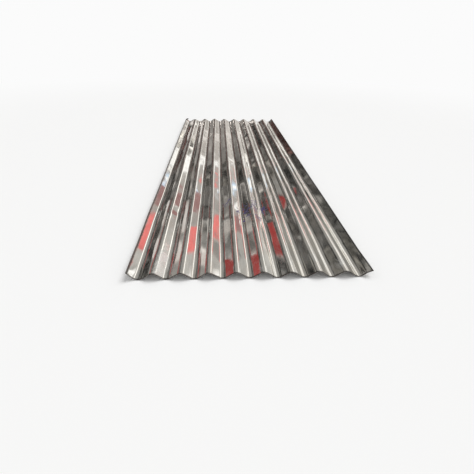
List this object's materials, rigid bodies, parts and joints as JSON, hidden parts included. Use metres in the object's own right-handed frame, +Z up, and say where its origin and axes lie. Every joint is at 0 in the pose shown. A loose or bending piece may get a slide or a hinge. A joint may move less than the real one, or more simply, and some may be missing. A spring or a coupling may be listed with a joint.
{
  "type": "corrugated metal sheet",
  "caption": "Galvanised corrugated roofing sheet, rolled from one flat steel sheet, with both long edges turned up for the side lap; lies flat on its valleys.",
  "frame": {"origin": "under the middle of the sheet, on the plane its valleys rest on", "axes": "+X across the corrugations, +Y along them, +Z up from the valleys to the crests"},
  "size_m": [0.6752, 2, 0.0193],
  "materials": {
    "galvanised_steel": "bright galvanised, mirror-like with faint lengthwise rolling lines and smudges"
  },
  "bodies": {
    "root": {"corrugated_sheet": "galvanised_steel"}
  },
  "joints": []
}
